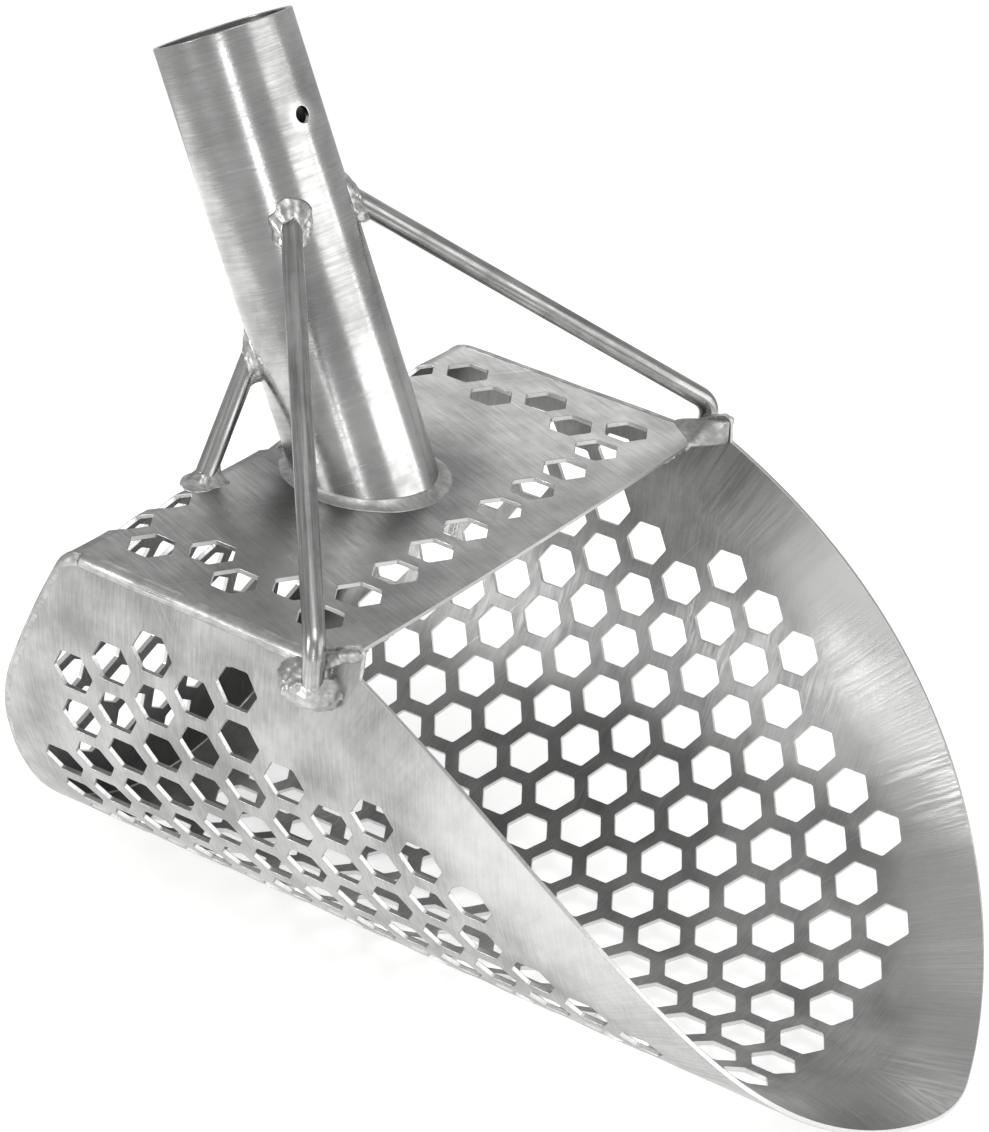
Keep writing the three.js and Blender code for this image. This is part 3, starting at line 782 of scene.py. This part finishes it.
def make_base_weld(material):
    origin = DECK_ORIGIN + Vector((0, SOCKET_FOOT, 0))
    return fillet_weld("socket_base_weld", origin, SOCKET_AXIS, SOCKET_RADIUS, deck_surface,
                       0.7 * BASE_WELD, BASE_WELD, material, 3, 0.3, 0.5, around=200)


def make_top_weld(node, line, climb, material, seed, lumps, fullness):
    axis = (line[1] - line[0]).normalized()
    return fillet_weld(node, line[0], axis, ROD_RADIUS, socket_surface, climb, 3.2 * MM, material,
                       seed, lumps, fullness)


def make_rear_foot_weld(node, line, material, seed):
    axis = (line[0] - line[-1]).normalized()
    return fillet_weld(node, line[-1], axis, ROD_RADIUS, deck_surface, 3.6 * MM, 3.2 * MM, material,
                       seed, 0.45, 0.6)


def boxed(point):
    """The point, moved inside the CAD's own box where it would stand out of it."""
    return Vector(min(max(c, low), high) for c, low, high in zip(point, cad_low, cad_high))


def lumpy_weld(node, blobs, material, lumpiness, smoothing, seed):
    """Blobs (centre, radii) fused into one skin, smoothed, and roughened a little."""
    verts = []
    faces = []
    for centre, radii in blobs:
        add_blob(verts, faces, centre, radii)
    source = bpy.data.meshes.new(node + "_source")
    source.from_pydata(verts, [], faces)
    holder = new_object(node + "_source", source)
    remesh = holder.modifiers.new("fuse", "REMESH")
    remesh.mode = "VOXEL"
    remesh.voxel_size = VOXEL
    smooth = holder.modifiers.new("smooth", "SMOOTH")
    smooth.factor = 0.5
    smooth.iterations = smoothing
    graph = bpy.context.evaluated_depsgraph_get()
    fused = bpy.data.meshes.new_from_object(holder.evaluated_get(graph))
    bpy.data.objects.remove(holder)
    bpy.data.meshes.remove(source)
    points = []
    for vertex in fused.vertices:
        wobble = noise.noise(vertex.co / (2.2 * MM) + Vector((seed, 0, 0)))
        fine = noise.noise(vertex.co / (0.9 * MM) + Vector((0, seed, 0)))
        points.append(boxed(vertex.co + lumpiness * (0.6 * wobble + 0.4 * fine) * vertex.normal))
    faces = [tuple(polygon.vertices) for polygon in fused.polygons]
    bpy.data.meshes.remove(fused)
    return new_piece(node + "_skin", points, faces, material, node)


def add_blob(verts, faces, centre, radii, rings=8, sides=12):
    """One round blob, closed at both poles."""
    start = len(verts)
    verts.append(centre + Vector((0, 0, radii[2])))
    for i in range(1, rings):
        polar = math.pi * i / rings
        for j in range(sides):
            turn = 2 * math.pi * j / sides
            out = math.sin(polar)
            verts.append(centre + Vector((radii[0] * out * math.cos(turn),
                                          radii[1] * out * math.sin(turn),
                                          radii[2] * math.cos(polar))))
    verts.append(centre - Vector((0, 0, radii[2])))
    last = len(verts) - 1
    for j in range(sides):
        k = (j + 1) % sides
        faces.append((start, start + 1 + j, start + 1 + k))
        for i in range(rings - 2):
            row = start + 1 + i * sides
            faces.append((row + j, row + sides + j, row + sides + k, row + k))
        row = start + 1 + (rings - 2) * sides
        faces.append((row + j, last, row + k))


def wall_outside(height, back):
    """A point on the basket's left outer face, at a height over the deck, from the deck's first row."""
    return basket_place(girth_at_height(height, back), back, -SHEET / 2)[0] - DECK_ORIGIN


def make_front_foot_weld(side, node, material, seed):
    """A ground mound on the wall that swallows the rod's end, with a bead from it to the ear."""
    chance = random.Random(seed)
    middle_back = FRONT_FOOT.y + 3 * MM
    middle_height = -7 * MM
    half_long = 9.5 * MM
    half_tall = 6 * MM
    thickest = 7.3 * MM
    grain = 1.1 * MM
    blobs = []
    for i in range(-8, 9):
        for j in range(-5, 6):
            u, v = i / 8, j / 5
            spread = u * u + v * v
            if spread > 1:
                continue
            thick = thickest * (1 - spread) ** 0.7 * chance.uniform(0.9, 1.05)
            wall = wall_outside(middle_height + half_tall * v, middle_back + half_long * u)
            for layer in range(int(thick / grain) + 1):
                centre = wall + Vector((min(layer * grain, thick), 0, 0))
                blobs.append((on_side(centre, side), Vector((1, 1, 1)) * grain))
    # three larger blobs close the mound round the rod's end
    for drop in (-1.5, 0, 1.5):
        centre = FRONT_FOOT + Vector((0.2, 0, drop)) * MM
        blobs.append((on_side(centre, side), Vector((3.4, 4.2, 2.6)) * MM))
    # two rows of nine small blobs climb from the mound to the ear
    for i in range(18):
        t = (i % 9) / 8
        lower = 2.4 * MM * (1 - t) * (i // 9)
        wall = wall_outside((6 * math.sqrt(t) - 0.6) * MM - lower, FRONT_FOOT.y + (1 - 11 * t) * MM)
        size = chance.uniform(1.3, 1.8) * MM
        centre = wall + Vector((1 - t, 0, 0)) * MM
        blobs.append((on_side(centre, side), Vector((size, size, size))))
    return lumpy_weld(node, blobs, material, 0.25 * MM, 4, seed)


def make_corner_weld(side, node, material, seed):
    """A smooth sweep of weld: from the rod along the wall's top it climbs to the tip of the ear."""
    chance = random.Random(seed)
    wall = wall_outside(0, -DECK_FRONT).x - SHEET
    crest_start = -7 * MM
    crest_end = EAR_FRONT + 1.2 * MM
    crest_rise = EAR_HEIGHT - 1.6 * MM
    below_top = 0.8 * MM
    deck_end = -DECK_FRONT + 0.3 * MM
    turning = 0.65
    widest = 9 * MM
    blobs = []
    for i in range(25):
        t = i / 24
        lean = 1.2 * MM * t
        back = crest_start + t * (crest_end - crest_start)
        crest = Vector((wall - lean, back, -below_top + crest_rise * t ** 0.75))
        out = min(t / turning, 1)
        foot = Vector((wall - 1 * MM - widest * out, max(back, deck_end), -below_top))
        if t > turning:
            end = Vector((wall - 0.5 * MM, EAR_FRONT + 1.5 * MM, -1 * MM))
            foot = foot.lerp(end, (t - turning) / (1 - turning))
        count = max(2, round((crest - foot).length / (0.9 * MM)))
        for j in range(count + 1):
            share = j / count
            sag = 0.9 * MM * math.sin(math.pi * share) * out
            point = crest.lerp(foot, share) - Vector((0, 0, sag))
            blobs.append((on_side(point, side), Vector((1, 1, 1)) * MM))
    # a few drops of weld along the deck's front edge, underneath
    for _ in range(7):
        across = wall - chance.uniform(8, 26) * MM
        drop = Vector((across, -DECK_FRONT - 0.2 * MM, -SHEET - 0.1 * MM))
        size = chance.uniform(0.5, 0.95) * MM
        blobs.append((on_side(drop, side), Vector((1.6, 0.8, 0.9)) * size))
    return lumpy_weld(node, blobs, material, 0.1 * MM, 8, seed)


def corner_bead(node, corners, material, seed):
    """A ground seam along an outside corner.

    Corners are (corner point, out of wall, out of hood); its faces lie along the two sheets.
    """
    arc_steps = 8
    verts, flat = [], []
    run = 0.0
    for k, (corner, off_wall, off_hood) in enumerate(corners):
        ahead = corners[min(k + 1, len(corners) - 1)][0] - corners[max(k - 1, 0)][0]
        a = ahead.cross(off_hood).normalized()
        a = a if a.dot(off_wall) > 0 else -a
        b = ahead.cross(off_wall).normalized()
        b = b if b.dot(off_hood) > 0 else -b
        if k:
            run += (corner - corners[k - 1][0]).length
        spread = noise.noise(Vector((run / (17 * MM), seed, 0)))
        rounding = (2.1 + 0.7 * spread) * MM
        ripple = 0.02 * MM * noise.noise(Vector((run / (2.5 * MM), seed, 0)))
        proud = SEAM_PROUD + ripple
        section = [(-SEAM_FACE, -0.1 * MM), (-SEAM_FACE + 0.5 * MM, proud / 2)]
        for i in range(arc_steps + 1):
            angle = math.pi / 2 * i / arc_steps
            section.append((proud - rounding + rounding * math.sin(angle),
                            proud - rounding + rounding * math.cos(angle)))
        section += [(proud / 2, -SEAM_FACE + 0.5 * MM), (-0.1 * MM, -SEAM_FACE)]
        section.append((-SHEET - 0.2 * MM, -SHEET - 0.2 * MM))
        verts += [boxed(corner + p * a + q * b) for p, q in section]
        flat += [(p - q, run) for p, q in section]
    size = len(section)
    faces = bar_sides(len(corners), size)
    faces.append(tuple(range(size)))
    faces.append(tuple(range(len(verts) - size, len(verts))))
    return new_piece(node + "_bead", verts, faces, material, node, flat=flat)


def make_deck_seam(side, node, material, seed):
    corners = []
    steps = 120
    for i in range(steps + 1):
        back = -DECK_FRONT + (DECK_BACK + DECK_FRONT) * i / steps
        girth = girth_at_height(0, back)
        corner, inward = basket_place(side * girth, back, -SHEET / 2)
        corners.append((corner, -inward, Vector((0, 0, 1))))
    return corner_bead(node, corners, material, seed)


def make_back_seam(side, node, material, seed):
    corners = []
    for girth in seam_girths(200):
        back = back_along_basket(girth, 0, -SHEET / 2)
        point, inward = basket_place(side * girth, back, -SHEET / 2)
        down = max(-(point - DECK_ORIGIN).z, 0)
        outward = hood_place(0, distance_at_drop(HOOD_LINE, down), 0)[1]
        corners.append((point, -inward, outward))
    return corner_bead(node, corners, material, seed)


# ---- Materials ----


class Surface:
    """A metal whose tone, gloss and relief are blended from fields that run from 0 to 1."""

    def __init__(self, name):
        self.material = bpy.data.materials.new(name)
        self.material.use_nodes = True
        self.tree = self.material.node_tree
        self.shader = self.tree.nodes["Principled BSDF"]
        self.shader.inputs["Metallic"].default_value = 1.0
        where = self.tree.nodes.new("ShaderNodeTexCoord")
        self.flat = where.outputs["UV"]
        self.place = where.outputs["Object"]

    def node(self, kind, inputs, output=0, **settings):
        made = self.tree.nodes.new("ShaderNode" + kind)
        for key, value in settings.items():
            setattr(made, key, value)
        for key, value in inputs.items():
            if isinstance(value, bpy.types.NodeSocket):
                self.tree.links.new(value, made.inputs[key])
            else:
                made.inputs[key].default_value = value
        return made.outputs[output]

    def maths(self, operation, a, b=0.0):
        return self.node("Math", {0: a, 1: b}, operation=operation)

    def noise(self, vector, scale, detail=4.0, turned=0.0):
        """Soft noise; a different scale each way turns it into streaks."""
        straight = self.node("Mapping", {"Vector": vector, "Rotation": (0, 0, turned)})
        stretched = self.node("Mapping", {"Vector": straight, "Scale": scale})
        inputs = {"Vector": stretched, "Scale": 1.0, "Detail": detail, "Roughness": 0.6}
        return self.node("TexNoise", inputs)

    def between(self, value, low, high, start=0.0, end=1.0):
        """Start below low, end above high, and a smooth run from one to the other."""
        inputs = {"Value": value, "From Min": low, "From Max": high, "To Min": start, "To Max": end}
        return self.node("MapRange", inputs, interpolation_type="SMOOTHSTEP")

    def mix(self, factor, a, b):
        return self.node("Mix", {0: factor, 2: a, 3: b})

    def distance(self, vector, centre):
        return self.node("VectorMath", {0: vector, 1: centre}, 1, operation="DISTANCE")

    def part(self, vector, axis):
        return self.node("SeparateXYZ", {0: vector}, axis)

    def finish(self, tone, rough, relief, depth):
        """Tone as a grey, relief as a height in steps of depth."""
        colour = self.node("CombineColor", {0: tone, 1: tone, 2: self.maths("MULTIPLY", tone, 0.99)})
        bump = self.node("Bump", {"Strength": 0.5, "Distance": depth, "Height": relief})
        self.tree.links.new(colour, self.shader.inputs["Base Color"])
        self.tree.links.new(rough, self.shader.inputs["Roughness"])
        self.tree.links.new(bump, self.shader.inputs["Normal"])
        return self.material


def sheet_tone(surface, brushed, tones):
    """Brushed sheet with soft grey clouds and a few longer scratches."""
    clouds = surface.mix(0.5, surface.noise(surface.place, (22, 22, 22)),
                         surface.noise(surface.place, (60, 60, 60), 5.0))
    tone = surface.mix(0.22, clouds, brushed)
    tone = surface.between(tone, 0.36, 0.64, *tones)
    scratches = surface.noise(surface.flat, (14, 1500, 1), 2.0, math.radians(35))
    scratches = surface.between(scratches, 0.68, 0.74)
    return surface.mix(surface.maths("MULTIPLY", scratches, 0.4), tone, SCRATCH_AND_HIGHLIGHT_TONE)


def finish_parts(surface):
    """How far a place is an inner face, a cut edge, and part of the brushed rim."""
    finish = surface.node("Attribute", {}, 0, attribute_name="finish")
    return [surface.part(finish, axis) for axis in range(3)]


def basket_material():
    """Brushed along the sheet, but across it in the band beside the mouth, whose painted highlight and
    painted shade lie mostly on the inner face.
    """
    surface = Surface("basket_steel")
    brushed = surface.noise(surface.flat, (90, 1600, 1), 5.0)
    tone = sheet_tone(surface, brushed, BASKET_TONES)
    inner, edge, rim = finish_parts(surface)
    from_middle_line = surface.maths("ABSOLUTE", surface.part(surface.flat, 0))
    across = surface.maths("ADD", from_middle_line, MOUTH_CENTRE_ACROSS)
    back = surface.maths("SUBTRACT", MOUTH_CENTRE_BACK, surface.part(surface.flat, 1))
    angle = surface.maths("ARCTAN2", across, back)
    turn = surface.maths("MULTIPLY", angle, MOUTH_RADIUS)
    out = surface.maths("SQRT", surface.maths("ADD", surface.maths("POWER", across, 2.0),
                                              surface.maths("POWER", back, 2.0)))
    along_rim = surface.node("CombineXYZ", {0: out, 1: turn})
    strokes = surface.between(surface.noise(along_rim, (45, 800, 1), 5.0), 0.3, 0.7)
    # painted highlight: a bright patch on the band midway round the mouth's arc, with streaky edges
    from_middle = surface.maths("ABSOLUTE", surface.maths("SUBTRACT", angle, HIGHLIGHT_MIDDLE))
    painted_highlight = surface.between(from_middle, math.radians(3), math.radians(15), 1.0, 0.0)
    highlight_streaks = surface.between(surface.noise(along_rim, (8, 70, 1), 2.0), 0.35, 0.65, -0.12, 0.12)
    painted_highlight = surface.maths("ADD", painted_highlight, highlight_streaks)
    rim_tone = surface.mix(painted_highlight, BAND_TONE, SCRATCH_AND_HIGHLIGHT_TONE)
    rim_tone = surface.mix(surface.maths("MULTIPLY", strokes, 0.35), rim_tone, 0.85)
    # painted shade: the band darkens towards the ear, at the top of the wall
    near_ear_shade = surface.between(angle, math.radians(52), math.radians(61), 1.0, 0.5)
    rim_tone = surface.maths("MULTIPLY", rim_tone, near_ear_shade)
    in_band = surface.between(rim, 0.0, 0.6)
    # the band's painted highlight and shade show mostly on the inner face, less on the outer
    inside_only = surface.mix(inner, 0.35, 0.85)
    tone = surface.mix(surface.maths("MULTIPLY", in_band, inside_only), tone, rim_tone)
    tone = surface.mix(edge, tone, CUT_TONE)
    relief = surface.mix(in_band, brushed, strokes)
    rough = surface.between(relief, 0.3, 0.7, *BASKET_ROUGHNESS)
    return surface.finish(tone, rough, relief, 0.05 * MM)


def hood_material():
    """Brushed across, with painted light: a painted dark reflection round the socket, brighter to the
    left, and painted shade on its inner face.
    """
    surface = Surface("hood_steel")
    brushed = surface.noise(surface.flat, (1100, 60, 1), 5.0, math.radians(20))
    tone = sheet_tone(surface, brushed, HOOD_TONES)
    foot = DECK_ORIGIN + Vector((0, SOCKET_FOOT, 0))
    # painted reflection: the deck darkens round the socket's foot
    socket_dark_reflection = surface.between(surface.distance(surface.place, foot), 21 * MM, 50 * MM, 0.45, 1.0)
    half = half_width(0)
    # painted light: the deck is made lighter towards its left side and darker towards its right
    side = surface.between(surface.part(surface.place, 0), -half, half, 0.72, 1.35)
    inner, edge, _ = finish_parts(surface)
    tone = surface.maths("MULTIPLY", surface.maths("MULTIPLY", tone, socket_dark_reflection), side)
    # painted shade: the hood's inner face is darkened to about a third
    tone = surface.maths("MULTIPLY", tone, surface.mix(inner, 1.0, 0.35))
    tone = surface.mix(edge, tone, CUT_TONE)
    rough = surface.between(brushed, 0.3, 0.7, *HOOD_ROUGHNESS)
    return surface.finish(tone, rough, brushed, 0.03 * MM)


def tube_material():
    """Rolled tube: marks that run round it, mottled near its foot, burnished round the bolt hole."""
    surface = Surface("tube_steel")
    turned = surface.noise(surface.flat, (60, 1400, 1), 4.0)
    chatter = surface.noise(surface.flat, (50, 800, 1), 3.0)
    clouds = surface.noise(surface.place, (38, 38, 38), 5.0)
    height = surface.part(surface.flat, 1)
    mottled = surface.between(height, 15 * MM, 75 * MM, 0.9, 0.65)
    tone = surface.mix(mottled, surface.mix(0.5, turned, chatter), clouds)
    tone = surface.between(tone, 0.33, 0.67, *TUBE_TONES)
    bolt = (BOLT_TURN * (SOCKET_RADIUS - SOCKET_WALL / 2), BOLT_HEIGHT, 0)
    from_bolt = surface.distance(surface.flat, bolt)
    ring = surface.between(from_bolt, BOLT_RADIUS, 6 * MM, 0.6, 0.0)
    tone = surface.mix(ring, tone, BOLT_RING_TONE)
    tone = surface.mix(finish_parts(surface)[1], tone, CUT_TONE)
    rough = surface.between(surface.mix(0.5, chatter, clouds), 0.35, 0.65, *TUBE_ROUGHNESS)
    relief = surface.mix(0.4, turned, clouds)
    return surface.finish(tone, rough, relief, 0.06 * MM)


def rod_material():
    """Drawn rod: darker, with fine lines along it."""
    surface = Surface("rod_steel")
    drawn = surface.noise(surface.flat, (1400, 45, 1), 4.0)
    clouds = surface.noise(surface.place, (70, 70, 70))
    tone = surface.between(surface.mix(0.5, drawn, clouds), 0.33, 0.67, *ROD_TONES)
    rough = surface.between(clouds, 0.35, 0.65, *ROD_ROUGHNESS)
    return surface.finish(tone, rough, drawn, 0.05 * MM)


def weld_material(name, tones, roughness):
    """Weld metal, ground and stained by the welding: bright facets between duller patches."""
    surface = Surface(name)
    stains = surface.noise(surface.place, (130, 130, 130), 4.0)
    grinding = surface.noise(surface.place, (900, 300, 700), 4.0)
    tone = surface.between(surface.mix(0.4, stains, grinding), 0.34, 0.66, *tones)
    rough = surface.between(stains, 0.35, 0.65, *roughness)
    return surface.finish(tone, rough, grinding, 0.12 * MM)


def floor_material():
    """Pale, and a little luminous so that its shadows stay light."""
    surface = Surface("pale_floor")
    shade = surface.noise(surface.place, (3, 3, 3), 2.0)
    tone = surface.between(shade, 0.3, 0.7, 0.9, 0.93)
    surface.shader.inputs["Metallic"].default_value = 0.0
    surface.shader.inputs["Specular IOR Level"].default_value = 0.0
    surface.shader.inputs["Emission Color"].default_value = (1, 1, 1, 1)
    surface.shader.inputs["Emission Strength"].default_value = 0.5
    return surface.finish(tone, surface.between(shade, 0.0, 1.0, 0.9, 1.0), shade, 0.01 * MM)


# ---- Stage ----


def make_floor():
    """A round pale floor under the scoop."""
    edge = arc((CENTRE.x, CENTRE.y), FLOOR_RADIUS, 0, 2 * math.pi, 96)[:-1]
    mesh = bpy.data.meshes.new("floor")
    mesh.from_pydata([(x, y, cad_low.z) for x, y in edge], [], [tuple(range(len(edge)))])
    mesh.materials.append(floor_material())
    new_object("floor", mesh)


def make_camera():
    """A long lens that looks from the scoop's right front, held with a slight roll."""
    level_part = math.cos(CAMERA_ELEVATION)
    back = Vector((math.sin(CAMERA_AZIMUTH) * level_part, -math.cos(CAMERA_AZIMUTH) * level_part,
                   math.sin(CAMERA_ELEVATION)))
    level = Vector((0, 0, 1)).cross(back).normalized()
    turn = Matrix.Rotation(CAMERA_ROLL, 3, back)
    right = turn @ level
    up = back.cross(right)
    data = bpy.data.cameras.new("camera")
    data.sensor_width = SENSOR_WIDTH
    data.lens = CAMERA_LENS
    data.clip_start = 0.01
    data.clip_end = 100
    camera = new_object("camera", data)
    place = CENTRE + CAMERA_DISTANCE * back + CAMERA_ASIDE * right + CAMERA_ABOVE * up
    camera.matrix_world = Matrix((
        (right.x, up.x, back.x, place.x),
        (right.y, up.y, back.y, place.y),
        (right.z, up.z, back.z, place.z),
        (0, 0, 0, 1),
    ))
    bpy.context.scene.camera = camera


def make_light(name, direction, distance, size, power):
    """A soft area light that looks at the object's centre."""
    data = bpy.data.lights.new(name, "AREA")
    data.shape = "RECTANGLE"
    data.size, data.size_y = size
    data.energy = power
    lamp = new_object(name, data)
    direction = Vector(direction).normalized()
    lamp.location = CENTRE + distance * direction
    lamp.rotation_mode = "QUATERNION"
    lamp.rotation_quaternion = direction.to_track_quat("Z", "Y")


def make_world():
    """White to the camera, and a soft grey studio in the reflections."""
    world = bpy.data.worlds.new("studio")
    world.use_nodes = True
    nodes = world.node_tree.nodes
    links = world.node_tree.links
    background = nodes["Background"]
    path = nodes.new("ShaderNodeLightPath")
    blend = nodes.new("ShaderNodeMix")
    blend.data_type = "RGBA"
    blend.inputs[6].default_value = (0.5, 0.5, 0.5, 1)
    blend.inputs[7].default_value = (1, 1, 1, 1)
    links.new(path.outputs["Is Camera Ray"], blend.inputs[0])
    links.new(blend.outputs[2], background.inputs["Color"])
    bpy.context.scene.world = world


def main():
    make_camera()
    make_world()
    make_floor()
    for light in LIGHTS:
        make_light(*light)
    bpy.context.scene.view_settings.view_transform = "Standard"

    basket = basket_material()
    hood = hood_material()
    tube = tube_material()
    rod = rod_material()
    bead = weld_material("weld_steel", BEAD_TONES, BEAD_ROUGHNESS)
    ground = weld_material("ground_weld_steel", GROUND_TONES, GROUND_ROUGHNESS)
    make_basket(basket)
    make_hood(hood)
    make_socket(tube)
    make_base_weld(ground)
    for seed, (name, side) in enumerate(SIDES.items(), start=1):
        front = front_strut_line(side)
        rear = rear_strut_line(side)
        make_rod(f"front_strut_{name}_rod", front, rod)
        make_rod(f"rear_strut_{name}_rod", rear, rod)
        make_top_weld(f"front_strut_top_weld_{name}", front, 4 * MM, bead, seed, 0.5, 1.2)
        make_top_weld(f"rear_strut_top_weld_{name}", rear, 4.5 * MM, bead, seed + 10, 0.4, 0.8)
        make_rear_foot_weld(f"rear_strut_foot_weld_{name}", rear, bead, seed + 20)
        make_front_foot_weld(side, f"front_strut_foot_weld_{name}", ground, seed + 30)
        make_corner_weld(side, f"deck_corner_weld_{name}", ground, seed + 40)
        make_deck_seam(side, f"deck_seam_weld_{name}", ground, seed + 50)
        make_back_seam(side, f"back_seam_weld_{name}", ground, seed + 60)


main()
